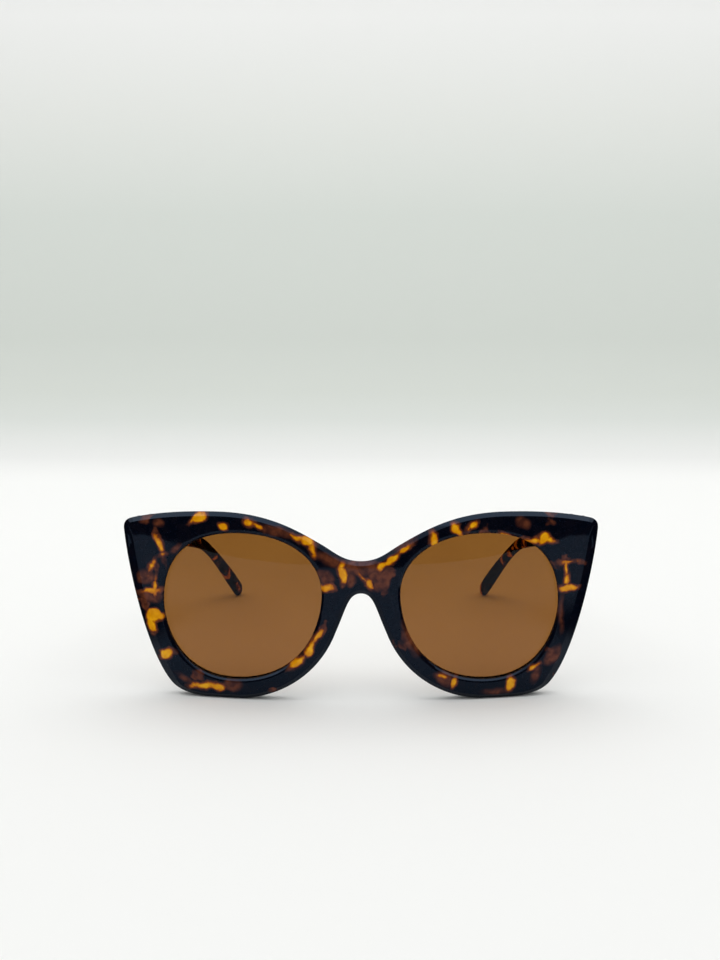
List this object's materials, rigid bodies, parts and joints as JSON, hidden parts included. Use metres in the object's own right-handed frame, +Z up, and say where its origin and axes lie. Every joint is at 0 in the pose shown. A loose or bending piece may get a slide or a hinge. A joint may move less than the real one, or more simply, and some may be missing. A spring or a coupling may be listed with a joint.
{
  "type": "cat eye sunglasses",
  "caption": "Oversized cat eye sunglasses with a moulded tortoiseshell front, round tinted lenses and folding temples on barrel hinges.",
  "frame": {"origin": "on the resting surface, under the middle of the open sunglasses' bounding box", "axes": "+Z up, the front faces -Y and the temples run towards +Y, +X is the wearer's left"},
  "size_m": [0.146, 0.1386, 0.058],
  "materials": {
    "tortoise_plastic": "polished translucent tortoiseshell, amber patches in dark brown",
    "tinted_lens": "polished brown tint",
    "hinge_steel": "tumbled steel",
    "screw_steel": "turned steel"
  },
  "bodies": {
    "front": {"front_frame": "tortoise_plastic", "lens_left": "tinted_lens", "lens_right": "tinted_lens", "front_hinge_left": "hinge_steel", "front_hinge_right": "hinge_steel", "hinge_screw_left": "screw_steel", "hinge_screw_right": "screw_steel"},
    "left_temple": {"temple_left": "tortoise_plastic", "temple_hinge_left": "hinge_steel"},
    "right_temple": {"temple_right": "tortoise_plastic", "temple_hinge_right": "hinge_steel"}
  },
  "joints": [
    {"name": "temple_left_fold", "type": "hinge", "parent": "front", "child": "left_temple", "pos_m": [0.0655, -0.05215, 0.0506], "axis": [0, 0, 1], "range_deg": [0, 85]},
    {"name": "temple_right_fold", "type": "hinge", "parent": "front", "child": "right_temple", "pos_m": [-0.0655, -0.05215, 0.0506], "axis": [0, 0, -1], "range_deg": [0, 80]}
  ]
}
